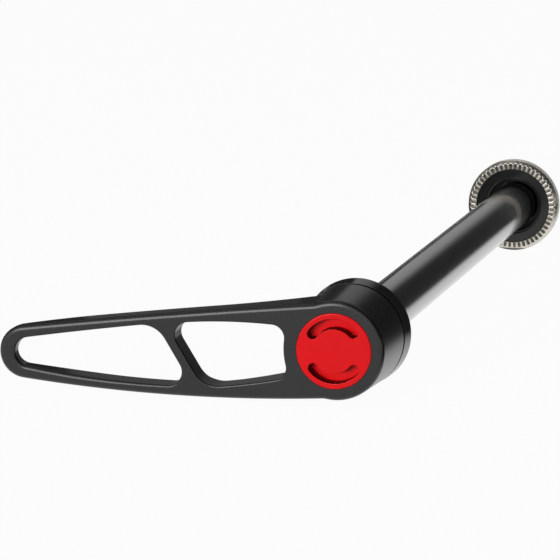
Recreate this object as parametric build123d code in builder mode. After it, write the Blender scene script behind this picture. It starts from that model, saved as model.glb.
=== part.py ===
from build123d import *
import os
from math import acos, atan2, cos, hypot, pi, radians, sin, sqrt, tan

os.makedirs("parts", exist_ok=True)

# Frame: Y runs along the axle from the lever to the nut, X points away from the lever's tip, Z is up.
# The origin is on the axle at the collar's clamping face. Sizes are in millimetres.

# Axle
axle_diameter = 10.0
axle_bore = 6.4
axle_end_chamfer = 0.6
clamp_length = 155.2
shaft_clearance = 0.08
press_clearance = 0.02

# Collar and its rings
collar_overhang = 0.35
collar_taper = 0.45
collar_rim = 0.85
collar_thickness = 5.0
collar_edge = 0.5
collar_back_edge = 0.4
collar_floor = 0.9
shoulder_thickness = 1.2
shoulder_diameter = 14.7
shoulder_clearance = 0.3
slip_washer_thickness = 0.5
slip_washer_play = 0.15
snap_ring_thickness = 0.45
snap_ring_width = 1.1
snap_ring_play = 0.1
snap_ring_bite = 0.3

# Serrated grip rings
grip_teeth = 52
grip_tooth_share = 0.8
grip_tooth_depth = 0.5
grip_cut_rise = 0.2
grip_cut_reach = 1.0
collar_grip_width = 2.8
collar_grip_thickness = 0.8
nut_grip_diameter = 20.9
nut_grip_width = 1.95
nut_grip_length = 3.4
nut_grip_chamfer = 0.8
nut_groove_width = 0.3
nut_groove_depth = 0.2
nut_groove_setback = 2.1

# Nut
nut_length = 13.0
nut_shoulder_step = 0.4
nut_shoulder_length = 1.0
nut_back_diameter = 13.8
nut_back_chamfer = 0.6
nut_face_setback = 0.5
nut_bore_room = 1.05
nut_bore_depth = 4.2
nut_recess_step = 0.45
nut_recess_depth = 0.8
lock_insert_length = 2.0
axle_end_setback = 0.5

# Lever arm, seen from the front: X along the arm and Z up
hub_face_diameter = 19.0
hub_flare = 0.6
hub_length = 14.8
hub_gap = 0.6
hub_wall_margin = 0.2
hub_back_chamfer = 0.25
arm_hub_step = 0.4
arm_hub_blend = 3.0
tip_x = -60.5
tip_z = -3.2
tip_radius = 5.15
top_edge_radius = 1500.0
bottom_edge_radius = 325.0
front_edge_radius = 0.8
back_edge_radius = 0.6
window_edge_radius = 0.4
back_facing = 0.7

# Windows and the slanted web between them
web_x = -30.64
web_z = -1.2
web_angle = 58.5
web_width = 1.8
tip_bar = 2.4
tip_window_setback = 0.75
tip_window_lift = 0.1
tip_window_top_bar = 2.30
tip_window_bottom_bar = 1.98
tip_window_top_bow = 900.0
tip_window_bottom_bow = 190.0
tip_window_top_corner = 5.0
tip_window_bottom_corner = 2.7
hub_window_gap = 0.26
hub_window_wall_radius = 12.8
hub_window_top_bar = 2.20
hub_window_top_hub_z = 4.2
hub_window_top_bow = 110.0
hub_window_bottom_bar = 1.98
hub_window_bottom_hub_z = -5.45
hub_window_bottom_bow = 150.0
hub_window_corners = (2.6, 2.5, 2.3, 5.2)

# Depth of the arm, from its front face backwards
tip_depth = 1.4
tip_margin = 1.55
knee_depth = 5.4
knee_reach = 14.3
arm_depth = 5.9
arm_root_x = -24.0
arm_root_end_x = 2.0
arm_root_setback = 1.2
web_relief = 0.5
web_relief_margin = 2.4
web_relief_reach = 7.5

# Cover cap
cap_diameter = 14.5
cap_thickness = 1.9
cap_proud = 0.2
cap_bevel = 0.25
cap_ledge = 0.65
cap_boss_bore = 6.9
cap_boss_length = 1.9
cap_boss_gap = 0.3
cap_slot_wall = 0.415
cap_slot_depth = 2.6
cap_slot_arc = 98.0
cap_slot_angles = (90, 267)

# Ratchet, return spring and retaining screw
ratchet_teeth = 24
ratchet_tip_diameter = 11.8
ratchet_tooth_height = 0.6
ratchet_length = 3.2
ratchet_clearance = 0.12
ratchet_flat = 0.25
head_collar_step = 0.1
head_collar_length = 1.5
neck_diameter = 9.0
guide_clearance = 0.1
spigot_length = 14.0
insert_step = 1.0
insert_teeth_setback = 0.2
insert_back_setback = 0.2
insert_web = 1.0
insert_relief = 0.3
spring_wire = 0.7
spring_turns = 2.75
spring_end_play = 0.02
washer_thickness = 0.8
washer_play = 0.3
washer_bore_play = 0.15
screw_diameter = 3.0
screw_length = 8.8
screw_head_diameter = 5.5
screw_head_height = 1.6
screw_socket = 2.0
screw_socket_depth = 1.0
screw_hole_spare = 1.0

# Stations along the axle, all measured from the collar's clamping face
collar_front = -collar_thickness
hub_back = collar_front - hub_gap
hub_front = hub_back - hub_length
cap_front = hub_front - cap_proud
cap_seat = cap_front + cap_thickness
cap_back = cap_seat + cap_boss_length
collar_back = -grip_tooth_depth
grip_seat = -collar_grip_thickness
collar_floor_front = grip_seat - collar_floor
shoulder_back = collar_floor_front - slip_washer_thickness
shoulder_front = shoulder_back - shoulder_thickness
snap_ring_back = shoulder_front - snap_ring_play
snap_ring_front = snap_ring_back - snap_ring_thickness
teeth_back = shoulder_front - head_collar_length
teeth_front = teeth_back - ratchet_length
washer_front = cap_back + cap_boss_gap
neck_front = washer_front + washer_thickness
screw_front = washer_front - screw_head_height
insert_back = hub_back - insert_back_setback
insert_teeth_front = teeth_front + insert_teeth_setback
insert_web_back = insert_teeth_front - insert_relief
insert_front = insert_web_back - insert_web
nut_face = clamp_length
nut_body_face = nut_face + nut_face_setback
nut_ring_back = nut_face + nut_grip_length
nut_back = nut_face + nut_length
nut_recess_floor = nut_body_face + nut_recess_depth
lock_insert_front = nut_body_face + nut_bore_depth
lock_insert_back = lock_insert_front + lock_insert_length
axle_end = nut_back - axle_end_setback

# Radii used by more than one piece
axle_radius = axle_diameter / 2
shaft_bore_radius = axle_radius + shaft_clearance
spigot_radius = axle_bore / 2 - press_clearance
hub_face_radius = hub_face_diameter / 2
hub_back_radius = hub_face_radius + hub_flare
collar_radius = hub_back_radius + collar_overhang
collar_grip_outer = collar_radius - collar_rim
collar_grip_inner = collar_grip_outer - collar_grip_width
counterbore_radius = shoulder_diameter / 2 + shoulder_clearance
groove_radius = counterbore_radius + snap_ring_bite
ratchet_tip_radius = ratchet_tip_diameter / 2
ratchet_root_radius = ratchet_tip_radius - ratchet_tooth_height
head_collar_radius = ratchet_root_radius - head_collar_step
neck_radius = neck_diameter / 2
cap_radius = cap_diameter / 2
chamber_radius = cap_radius - cap_ledge
spring_radius = (neck_radius + chamber_radius) / 2
insert_radius = chamber_radius + insert_step
hub_window_wall_x = -hub_face_radius - hub_window_gap
arm_hub_radius = hub_face_radius - arm_hub_step
nut_grip_outer = nut_grip_diameter / 2
nut_grip_inner = nut_grip_outer - nut_grip_width
nut_shoulder_radius = nut_grip_outer - nut_shoulder_step
nut_bore_radius = axle_radius + nut_bore_room
nut_recess_radius = nut_bore_radius + nut_recess_step


def across(station):
    # Plane square to the axle at a station, facing the lever: sketch x is X and sketch y is Z.
    return Plane.XZ.offset(-station)


def turned(*corners):
    # Closed section of a turned piece: each corner is a radius and a station along the axle.
    with BuildSketch(Plane.XY) as section:
        with BuildLine():
            Polyline(*corners, close=True)
        make_face()
    return section.sketch


def washer_section(inner, outer, near, far):
    return turned((inner, near), (outer, near), (outer, far), (inner, far))


def grip_cutter(inner, outer):
    # V prism lying along x, open on the clamping face at z = 0 and widening a little above it.
    half_width = grip_tooth_share * pi * inner / grip_teeth
    flare = half_width * (1 + grip_cut_rise / grip_tooth_depth)
    top = grip_cut_rise
    with BuildPart() as cutter:
        with BuildSketch(Plane.YZ.offset(inner - grip_cut_reach)):
            with BuildLine():
                Polyline((-flare, top), (flare, top), (0, -grip_tooth_depth), close=True)
            make_face()
        extrude(amount=outer - inner + 2 * grip_cut_reach)
    return cutter.part


def toothed(root_radius, tip_radius):
    # Ring of straight-flanked ratchet teeth: each tooth has a flat tip and a flat root.
    pitch = 2 * pi / ratchet_teeth
    points = []
    for tooth in range(ratchet_teeth):
        middle = tooth * pitch
        for offset, radius in (
            (-(1 - ratchet_flat) / 2, root_radius),
            (-ratchet_flat / 2, tip_radius),
            (ratchet_flat / 2, tip_radius),
            ((1 - ratchet_flat) / 2, root_radius),
        ):
            angle = middle + offset * pitch
            points.append((radius * cos(angle), radius * sin(angle)))
    with BuildSketch() as teeth:
        with BuildLine():
            Polyline(*points, close=True)
        make_face()
    return teeth.sketch


def bow_centre(start, start_radius, end, end_radius, radius, bulge):
    # Centre of an arc that is tangent inside two circles. bulge is 1 for an arc that bows up and -1 for down.
    dx, dz = end[0] - start[0], end[1] - start[1]
    span = hypot(dx, dz)
    near, far = radius - start_radius, radius - end_radius
    angle = atan2(dz, dx) - bulge * acos((near**2 + span**2 - far**2) / (2 * near * span))
    return start[0] + near * cos(angle), start[1] + near * sin(angle)


def bowed(start, start_radius, end, end_radius, radius, bulge):
    # Start, middle and end of that arc.
    centre = bow_centre(start, start_radius, end, end_radius, radius, bulge)
    ends = []
    for point, reach in ((start, start_radius), (end, end_radius)):
        share = reach / hypot(point[0] - centre[0], point[1] - centre[1])
        ends.append(tuple(p + share * (p - c) for p, c in zip(point, centre)))
    middle = tuple((a + b) / 2 for a, b in zip(*ends))
    stretch = radius / hypot(middle[0] - centre[0], middle[1] - centre[1])
    ends.insert(1, tuple(c + stretch * (m - c) for m, c in zip(middle, centre)))
    return ends


def web_edge(height, side):
    # X of the web's edge at a height: side -1 faces the tip and 1 faces the hub.
    slant = radians(web_angle)
    return web_x - (height - web_z) / tan(slant) + side * web_width / 2 / sin(slant)


def arm_edge(radius, bulge):
    # Height of the arm's top or bottom edge above the web's middle.
    centre = bow_centre((tip_x, tip_z), tip_radius, (0, 0), arm_hub_radius, radius, bulge)
    return centre[1] + bulge * sqrt(radius**2 - (web_x - centre[0]) ** 2)


def hub_wall_x(height):
    return hub_window_wall_x + hub_window_wall_radius - sqrt(hub_window_wall_radius**2 - height**2)


def lever_outline():
    tip, hub = (tip_x, tip_z), (0, 0)
    top = bowed(tip, tip_radius, hub, arm_hub_radius, top_edge_radius, 1)
    bottom = bowed(tip, tip_radius, hub, arm_hub_radius, bottom_edge_radius, -1)
    with BuildSketch() as outline:
        with BuildLine():
            ThreePointArc(*top)
            ThreePointArc(top[2], (arm_hub_radius, 0), bottom[2])
            ThreePointArc(*bottom)
            ThreePointArc(bottom[0], (tip_x - tip_radius, tip_z), top[0])
        make_face()
        Circle(hub_face_radius)
        fillet(outline.vertices().sort_by_distance(hub)[:2], arm_hub_blend)
    return outline.sketch


def tip_window():
    end = (tip_x + tip_window_setback, tip_z + tip_window_lift)
    end_radius = tip_radius - tip_bar
    top_z = arm_edge(top_edge_radius, 1) - tip_window_top_bar
    bottom_z = arm_edge(bottom_edge_radius, -1) + tip_window_bottom_bar
    high = (web_edge(top_z, -1), top_z)
    low = (web_edge(bottom_z, -1), bottom_z)
    top = bowed(end, end_radius, high, 0, tip_window_top_bow, 1)
    bottom = bowed(end, end_radius, low, 0, tip_window_bottom_bow, -1)
    with BuildSketch() as window:
        with BuildLine():
            ThreePointArc(*top)
            Line(high, low)
            ThreePointArc(*bottom)
            ThreePointArc(bottom[0], (end[0] - end_radius, end[1]), top[0])
        make_face()
        corners = window.vertices().sort_by(Axis.X)[2:]
        fillet(corners.sort_by(Axis.Y)[-1], tip_window_top_corner)
        fillet(window.vertices().sort_by(Axis.X)[-1], tip_window_bottom_corner)
    return window.sketch


def hub_window():
    top_z = arm_edge(top_edge_radius, 1) - hub_window_top_bar
    bottom_z = arm_edge(bottom_edge_radius, -1) + hub_window_bottom_bar
    high_web = (web_edge(top_z, 1), top_z)
    high_hub = (hub_wall_x(hub_window_top_hub_z), hub_window_top_hub_z)
    low_hub = (hub_wall_x(hub_window_bottom_hub_z), hub_window_bottom_hub_z)
    low_web = (web_edge(bottom_z, 1), bottom_z)
    with BuildSketch() as window:
        with BuildLine():
            ThreePointArc(*bowed(high_web, 0, high_hub, 0, hub_window_top_bow, 1))
            ThreePointArc(high_hub, (hub_window_wall_x, 0), low_hub)
            ThreePointArc(*bowed(low_web, 0, low_hub, 0, hub_window_bottom_bow, -1))
            Line(low_web, high_web)
        make_face()
        for corner, radius in zip((high_web, high_hub, low_hub, low_web), hub_window_corners):
            fillet(window.vertices().sort_by_distance(corner)[0], radius)
    return window.sketch


# Axle tube, open at the far end
with BuildPart() as axle_tube:
    revolve(
        turned(
            (axle_bore / 2, shoulder_back),
            (axle_radius, shoulder_back),
            (axle_radius, axle_end - axle_end_chamfer),
            (axle_radius - axle_end_chamfer, axle_end),
            (axle_bore / 2, axle_end),
        ),
        axis=Axis.Y,
    )
axle_tube.part.label = "axle_tube"
export_step(axle_tube.part, "parts/axle_tube.step")

# Toothed head with the clamping shoulder, a guide neck and a spigot in the tube
with BuildPart() as ratchet_head:
    revolve(
        turned(
            (0, neck_front),
            (neck_radius, neck_front),
            (neck_radius, teeth_front),
            (ratchet_root_radius, teeth_front),
            (ratchet_root_radius, teeth_back),
            (head_collar_radius, teeth_back),
            (head_collar_radius, shoulder_front),
            (shoulder_diameter / 2, shoulder_front),
            (shoulder_diameter / 2, shoulder_back),
            (spigot_radius, shoulder_back),
            (spigot_radius, spigot_length),
            (0, spigot_length),
        ),
        axis=Axis.Y,
    )
    with BuildSketch(across(teeth_back)):
        add(toothed(ratchet_root_radius, ratchet_tip_radius))
    extrude(amount=ratchet_length)
    with BuildSketch(across(washer_front + screw_length + screw_hole_spare)):
        Circle(screw_diameter / 2 + press_clearance)
    extrude(until=Until.LAST, mode=Mode.SUBTRACT)
ratchet_head.part.label = "ratchet_head"
export_step(ratchet_head.part, "parts/ratchet_head.step")

# Socket screw that holds the spring's washer on the neck
with BuildPart() as retaining_screw:
    revolve(
        turned(
            (0, screw_front),
            (screw_head_diameter / 2, screw_front),
            (screw_head_diameter / 2, washer_front),
            (screw_diameter / 2, washer_front),
            (screw_diameter / 2, washer_front + screw_length),
            (0, washer_front + screw_length),
        ),
        axis=Axis.Y,
    )
    with BuildSketch(across(screw_front + screw_socket_depth)):
        RegularPolygon(screw_socket / 2, 6, major_radius=False)
    extrude(amount=screw_socket_depth, mode=Mode.SUBTRACT)
retaining_screw.part.label = "retaining_screw"
export_step(retaining_screw.part, "parts/retaining_screw.step")

# Washer under the screw's head
with BuildPart() as spring_washer:
    washer_bore = screw_diameter / 2 + washer_bore_play
    revolve(washer_section(washer_bore, chamber_radius - washer_play, washer_front, neck_front), axis=Axis.Y)
spring_washer.part.label = "spring_washer"
export_step(spring_washer.part, "parts/spring_washer.step")

# Coil spring between the washer and the insert's web
spring_low = insert_front - spring_wire / 2 - spring_end_play
spring_height = spring_low - (neck_front + spring_wire / 2 + spring_end_play)
with BuildPart() as return_spring:
    with BuildLine() as coil:
        Helix(
            pitch=spring_height / spring_turns,
            height=spring_height,
            radius=spring_radius,
            center=(0, spring_low, 0),
            direction=(0, -1, 0),
        )
    with BuildSketch(Plane(origin=coil.line @ 0, z_dir=coil.line % 0)):
        Circle(spring_wire / 2)
    sweep()
return_spring.part.label = "return_spring"
export_step(return_spring.part, "parts/return_spring.step")

# Collar ring that stays still on the frame
with BuildPart() as clamp_collar:
    revolve(
        turned(
            (counterbore_radius, collar_front),
            (collar_radius - collar_taper, collar_front),
            (collar_radius, collar_back - collar_edge),
            (collar_radius, collar_back),
            (collar_grip_outer + press_clearance, collar_back),
            (collar_grip_outer + press_clearance, grip_seat),
            (shaft_bore_radius, grip_seat),
            (shaft_bore_radius, collar_floor_front),
            (counterbore_radius, collar_floor_front),
            (counterbore_radius, snap_ring_back),
            (groove_radius, snap_ring_back),
            (groove_radius, snap_ring_front),
            (counterbore_radius, snap_ring_front),
        ),
        axis=Axis.Y,
    )
    outer_edges = clamp_collar.edges().filter_by(GeomType.CIRCLE).sort_by(SortBy.RADIUS)[-2:]
    fillet(outer_edges.sort_by(Axis.Y)[-1], collar_back_edge)
clamp_collar.part.label = "clamp_collar"
export_step(clamp_collar.part, "parts/clamp_collar.step")

# Slip washer between the turning shoulder and the collar's floor
with BuildPart() as slip_washer:
    revolve(
        washer_section(
            axle_radius + slip_washer_play,
            shoulder_diameter / 2 - slip_washer_play,
            shoulder_back,
            collar_floor_front,
        ),
        axis=Axis.Y,
    )
slip_washer.part.label = "slip_washer"
export_step(slip_washer.part, "parts/slip_washer.step")

# Snap ring that keeps the shoulder in the collar
with BuildPart() as collar_snap_ring:
    revolve(
        washer_section(
            groove_radius - press_clearance - snap_ring_width,
            groove_radius - press_clearance,
            snap_ring_front,
            snap_ring_back,
        ),
        axis=Axis.Y,
    )
collar_snap_ring.part.label = "collar_snap_ring"
export_step(collar_snap_ring.part, "parts/collar_snap_ring.step")

# Serrated ring on the collar's clamping face
with BuildPart(Plane(origin=(0, 0, 0), x_dir=(1, 0, 0), z_dir=(0, 1, 0))) as collar_grip_ring:
    revolve(washer_section(collar_grip_inner, collar_grip_outer, grip_seat, 0), axis=Axis.Y)
    with PolarLocations(0, grip_teeth, start_angle=90 + 180 / grip_teeth):
        add(grip_cutter(collar_grip_inner, collar_grip_outer), mode=Mode.SUBTRACT)
collar_grip_ring.part.label = "collar_grip_ring"
export_step(collar_grip_ring.part, "parts/collar_grip_ring.step")

# Lever: bowed outline with two windows, a back that thickens into the hub, and a hub bored for the ratchet
arm_back = hub_front + arm_depth
root_back = hub_back - arm_root_setback
tip_back_x = tip_x - tip_radius - tip_margin
hub_wall_front = hub_front + front_edge_radius + hub_wall_margin
with BuildPart() as lever:
    with BuildSketch(across(root_back)):
        add(lever_outline())
        add(tip_window(), mode=Mode.SUBTRACT)
        add(hub_window(), mode=Mode.SUBTRACT)
    extrude(amount=root_back - hub_front)
    with BuildSketch(Plane.XY):
        with BuildLine():
            tip_end = (tip_back_x, hub_front + tip_depth)
            knee = (tip_x + knee_reach, hub_front + knee_depth)
            root = (arm_root_x, arm_back)
            hub_side = (arm_root_end_x, root_back)
            TangentArc(knee, tip_end, tangent=(knee[0] - root[0], knee[1] - root[1]))
            Polyline(tip_end, (tip_back_x, root_back), hub_side)
            TangentArc(root, hub_side, tangent=(root[0] - knee[0], root[1] - knee[1]))
            Line(root, knee)
        make_face()
    extrude(amount=hub_face_diameter, both=True, mode=Mode.SUBTRACT)
    fillet(lever.faces().sort_by(Axis.Y)[0].outer_wire().edges(), front_edge_radius)
    fillet(lever.faces().sort_by(Axis.Y)[0].inner_wires().edges(), window_edge_radius)
    back_faces = lever.faces().filter_by(lambda face: face.normal_at().Y > back_facing)
    fillet(back_faces.edges().filter_by(Axis.Z, reverse=True), back_edge_radius)
    with BuildSketch(across(root_back)):
        add(lever_outline())
        offset(amount=-web_relief_margin, mode=Mode.REPLACE)
        with BuildLine():
            Polyline(
                *[
                    (web_edge(height, side) + side * web_relief_reach, height)
                    for side, height in (
                        (-1, hub_face_diameter),
                        (1, hub_face_diameter),
                        (1, -hub_face_diameter),
                        (-1, -hub_face_diameter),
                    )
                ],
                close=True,
            )
        make_face(mode=Mode.INTERSECT)
    extrude(amount=root_back - arm_back + web_relief, mode=Mode.SUBTRACT)
    revolve(
        turned(
            (0, hub_wall_front),
            (hub_face_radius, hub_wall_front),
            (hub_back_radius, hub_back - hub_back_chamfer),
            (hub_back_radius - hub_back_chamfer, hub_back),
            (0, hub_back),
        ),
        axis=Axis.Y,
    )
    revolve(
        turned(
            (0, hub_front),
            (cap_radius + press_clearance, hub_front),
            (cap_radius + press_clearance, cap_seat),
            (chamber_radius, cap_seat),
            (chamber_radius, insert_front),
            (insert_radius, insert_front),
            (insert_radius, hub_back),
            (0, hub_back),
        ),
        axis=Axis.Y,
        mode=Mode.SUBTRACT,
    )
lever.part.label = "lever"
export_step(lever.part, "parts/lever.step")

# Toothed bush pressed in the hub, with the web that the spring presses on
with BuildPart() as ratchet_insert:
    revolve(
        washer_section(
            neck_radius + guide_clearance,
            insert_radius - press_clearance,
            insert_front,
            insert_back,
        ),
        axis=Axis.Y,
    )
    revolve(
        washer_section(
            0,
            ratchet_tip_radius + ratchet_clearance,
            insert_web_back,
            insert_teeth_front,
        ),
        axis=Axis.Y,
        mode=Mode.SUBTRACT,
    )
    with BuildSketch(across(insert_back)):
        add(toothed(ratchet_root_radius + ratchet_clearance, ratchet_tip_radius + ratchet_clearance))
    extrude(amount=insert_back - insert_teeth_front, mode=Mode.SUBTRACT)
ratchet_insert.part.label = "ratchet_insert"
export_step(ratchet_insert.part, "parts/ratchet_insert.step")

# Cover cap: a flange, a boss that snaps in the hub, and two curved slots sunk in the boss
boss_radius = chamber_radius - press_clearance
boss_bore = cap_boss_bore / 2
with BuildPart() as cover_cap:
    revolve(
        turned(
            (0, cap_front),
            (cap_radius - cap_bevel, cap_front),
            (cap_radius, cap_front + cap_bevel),
            (cap_radius, cap_seat),
            (boss_radius, cap_seat),
            (boss_radius, cap_back),
            (boss_bore, cap_back),
            (boss_bore, cap_seat),
            (0, cap_seat),
        ),
        axis=Axis.Y,
    )
    with BuildSketch(across(cap_front + cap_slot_depth)):
        for middle in cap_slot_angles:
            with BuildLine(mode=Mode.PRIVATE) as slot_path:
                CenterArc((0, 0), (boss_radius + boss_bore) / 2, middle - cap_slot_arc / 2, cap_slot_arc)
            SlotArc(slot_path.line.edge(), boss_radius - boss_bore - 2 * cap_slot_wall)
    extrude(amount=cap_slot_depth, mode=Mode.SUBTRACT)
cover_cap.part.label = "cover_cap"
export_step(cover_cap.part, "parts/cover_cap.step")

# Nut body: a spigot for the grip ring, a stepped recess round the axle and a tapered back
with BuildPart() as nut_body:
    spigot = nut_grip_inner - press_clearance
    taper_start = nut_ring_back + nut_shoulder_length
    revolve(
        turned(
            (nut_recess_radius, nut_body_face),
            (spigot, nut_body_face),
            (spigot, nut_ring_back),
            (nut_shoulder_radius, nut_ring_back),
            (nut_shoulder_radius, taper_start),
            (nut_back_diameter / 2, nut_back - nut_back_chamfer),
            (nut_back_diameter / 2 - nut_back_chamfer, nut_back),
            (shaft_bore_radius, nut_back),
            (shaft_bore_radius, lock_insert_back),
            (nut_bore_radius, lock_insert_back),
            (nut_bore_radius, nut_recess_floor),
            (nut_recess_radius, nut_recess_floor),
        ),
        axis=Axis.Y,
    )
nut_body.part.label = "nut_body"
export_step(nut_body.part, "parts/nut_body.step")

# Nylon ring that grips the thread
with BuildPart() as nut_lock_insert:
    revolve(
        washer_section(
            shaft_bore_radius,
            nut_bore_radius - press_clearance,
            lock_insert_front,
            lock_insert_back,
        ),
        axis=Axis.Y,
    )
nut_lock_insert.part.label = "nut_lock_insert"
export_step(nut_lock_insert.part, "parts/nut_lock_insert.step")

# Serrated steel ring on the nut's clamping face
with BuildPart(across(nut_face)) as nut_grip_ring:
    groove_front = nut_face + nut_groove_setback
    groove_floor = nut_grip_outer - nut_groove_depth
    revolve(
        turned(
            (nut_grip_inner, nut_face),
            (nut_grip_outer - nut_grip_chamfer, nut_face),
            (nut_grip_outer, nut_face + nut_grip_chamfer),
            (nut_grip_outer, groove_front),
            (groove_floor, groove_front),
            (groove_floor, groove_front + nut_groove_width),
            (nut_grip_outer, groove_front + nut_groove_width),
            (nut_grip_outer, nut_ring_back),
            (nut_grip_inner, nut_ring_back),
        ),
        axis=Axis.Y,
    )
    with PolarLocations(0, grip_teeth, start_angle=90 + 180 / grip_teeth):
        add(grip_cutter(nut_grip_inner, nut_grip_outer), mode=Mode.SUBTRACT)
nut_grip_ring.part.label = "nut_grip_ring"
export_step(nut_grip_ring.part, "parts/nut_grip_ring.step")
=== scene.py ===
import bmesh
import bpy
import numpy as np
from mathutils import Matrix, Vector
from mathutils.geometry import delaunay_2d_cdt


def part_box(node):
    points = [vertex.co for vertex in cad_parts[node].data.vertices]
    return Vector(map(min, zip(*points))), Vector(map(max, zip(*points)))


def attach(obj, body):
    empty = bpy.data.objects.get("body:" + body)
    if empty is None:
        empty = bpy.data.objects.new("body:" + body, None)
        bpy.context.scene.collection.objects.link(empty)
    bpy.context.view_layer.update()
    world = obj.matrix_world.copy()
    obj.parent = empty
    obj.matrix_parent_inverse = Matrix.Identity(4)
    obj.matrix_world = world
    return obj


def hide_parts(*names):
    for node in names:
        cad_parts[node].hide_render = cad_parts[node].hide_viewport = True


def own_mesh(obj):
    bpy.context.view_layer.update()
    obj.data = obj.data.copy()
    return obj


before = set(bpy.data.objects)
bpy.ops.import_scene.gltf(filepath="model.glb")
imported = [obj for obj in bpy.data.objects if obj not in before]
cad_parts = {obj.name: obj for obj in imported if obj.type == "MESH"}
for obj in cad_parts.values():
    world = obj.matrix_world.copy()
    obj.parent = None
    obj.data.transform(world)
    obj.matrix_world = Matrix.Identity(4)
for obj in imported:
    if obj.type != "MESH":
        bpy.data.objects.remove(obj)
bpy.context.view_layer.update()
bpy.context.scene.view_settings.view_transform = "Standard"
mm = 0.001  # the frame is in metres, the sizes below are in millimetres


def nodeSpan(name):
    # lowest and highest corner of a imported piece, in millimetres
    return [np.array(corner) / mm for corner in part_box(name)]


# Places along the axle and radii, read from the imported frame
axleLow, axleHigh = nodeSpan("axle_tube")
collarLow, collarHigh = nodeSpan("clamp_collar")
collarGripLow, collarGripHigh = nodeSpan("collar_grip_ring")
nutLow, nutHigh = nodeSpan("nut_body")
nutGripLow, nutGripHigh = nodeSpan("nut_grip_ring")
capLow, capHigh = nodeSpan("cover_cap")
leverLow, leverHigh = nodeSpan("lever")
springLow, springHigh = nodeSpan("return_spring")
axleRadius = axleHigh[2]
clampFace = collarGripHigh[1]
nutFace = nutGripLow[1]
hubFront = leverLow[1]
hubBack = leverHigh[1]
floorHeight = min(collarLow[2], nutGripLow[2])
print("frame read: clamp length", round(nutFace - clampFace, 2), "mm")

# Surfaces: grids of points worked out as whole arrays
surface = {
    "cornerSteps": 6,  # straight runs in a rounded corner
    "sameSpot": 1e-6,  # points of a line this close are one, in millimetres
    "mergeWithin": 2e-7,  # metres
    "flatWithin": 1e-8,  # metres
    "crease": 40,  # edges that fold by more degrees stay sharp
}


def unit(directions):
    # directions brought to length 1, each divided by its own length
    return directions / np.linalg.norm(directions, axis=1, keepdims=True).clip(1e-9)


def roundedLine(corners, closed=True):
    # Corner list of (a, b, radius) to a dense line: each corner is cut back by radius * tan(turn / 2) along
    # both of its sides and an arc of that radius joins the cuts.
    corner = np.array(corners, float)
    spot, radius = corner[:, :2], corner[:, 2]
    inward, outward = unit(np.roll(spot, 1, 0) - spot), unit(np.roll(spot, -1, 0) - spot)
    half = np.arccos(np.clip((inward * outward).sum(1), -1, 1)) / 2
    middle = unit(inward + outward)
    centre = spot + middle * (radius / np.sin(half).clip(1e-6))[:, None]
    swing = (np.pi / 2 - half)[:, None] * np.linspace(-1, 1, surface["cornerSteps"] + 1)
    side = unit(outward - middle * (outward * middle).sum(1, keepdims=True))
    arc = -middle[:, None] * np.cos(swing)[..., None] + side[:, None] * np.sin(swing)[..., None]
    line = centre[:, None] + radius[:, None, None] * arc
    if not closed:
        line[[0, -1]] = spot[[0, -1], None]
    line = line.reshape(-1, 2)
    keep = np.linalg.norm(np.diff(line, axis=0, append=line[:1]), axis=1) > surface["sameSpot"]
    if not closed:
        keep[-1] = True
    return line[keep]


def meshPiece(name, spots, faces, turnOut=False):
    # Points in metres and faces to a linked piece. Points that coincide are merged, which closes seams and
    # poles, and turnOut points the faces of a closed shell outwards.
    mesh = bpy.data.meshes.new(name)
    mesh.from_pydata(spots.tolist(), [], faces)
    shell = bmesh.new()
    shell.from_mesh(mesh)
    bmesh.ops.remove_doubles(shell, verts=shell.verts, dist=surface["mergeWithin"])
    bmesh.ops.dissolve_degenerate(shell, edges=shell.edges, dist=surface["flatWithin"])
    if turnOut:
        bmesh.ops.recalc_face_normals(shell, faces=shell.faces)
    shell.to_mesh(mesh)
    shell.free()
    mesh.shade_smooth()
    piece = bpy.data.objects.new(name, mesh)
    bpy.context.scene.collection.objects.link(piece)
    return piece


def gridQuads(rows, columns, closeRows=True, closeColumns=True):
    # Each quad joins four neighbours of a grid, and a closed direction joins its last line to its first.
    index = np.arange(rows * columns).reshape(rows, columns)
    index = np.pad(index, ((0, int(closeRows)), (0, int(closeColumns))), mode="wrap")
    return np.stack([index[:-1, :-1], index[1:, :-1], index[1:, 1:], index[:-1, 1:]], -1).reshape(-1, 4)


def gridPiece(name, grid, closeRows=True, closeColumns=True):
    # Grid of points in millimetres to a mesh of quads. The signed volume, the sum of first x second . third
    # over the halves of all quads, tells whether the faces point outwards, and turns them if they don't.
    spots = grid.reshape(-1, 3) * mm
    quads = gridQuads(*grid.shape[:2], closeRows, closeColumns)
    first, second, third, fourth = spots[quads].transpose(1, 0, 2)
    volume = (np.cross(first, second) * third).sum() + (np.cross(first, third) * fourth).sum()
    if volume < 0:
        quads = quads[:, ::-1]
    return meshPiece(name, spots, quads.tolist())


def roundGrid(radius, station, angle):
    # Points round the axle: x = radius cos(angle), y = station, z = radius sin(angle).
    return np.stack(np.broadcast_arrays(radius * np.cos(angle), station, radius * np.sin(angle)), -1)


def turnedGrid(line, segments):
    # Line of (radius, station) carried once round the axle
    angle = np.linspace(0, 2 * np.pi, segments, endpoint=False)
    return roundGrid(line[:, :1], line[:, 1:], angle)


def faceAngles(mesh):
    # Fold at every edge of a closed mesh: the angle whose cosine is the product of its two faces' normals.
    edgeOfLoop = np.empty(len(mesh.loops), np.int32)
    mesh.loops.foreach_get("edge_index", edgeOfLoop)
    sides = np.empty(len(mesh.polygons), np.int32)
    mesh.polygons.foreach_get("loop_total", sides)
    normals = np.empty(3 * len(mesh.polygons), np.float32)
    mesh.polygons.foreach_get("normal", normals)
    faceOfLoop = np.repeat(np.arange(len(sides)), sides)
    pairs = faceOfLoop[np.argsort(edgeOfLoop, kind="stable")].reshape(-1, 2)
    first, second = normals.reshape(-1, 3)[pairs].transpose(1, 0, 2)
    return np.arccos(np.clip((first * second).sum(1), -1, 1))


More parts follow.
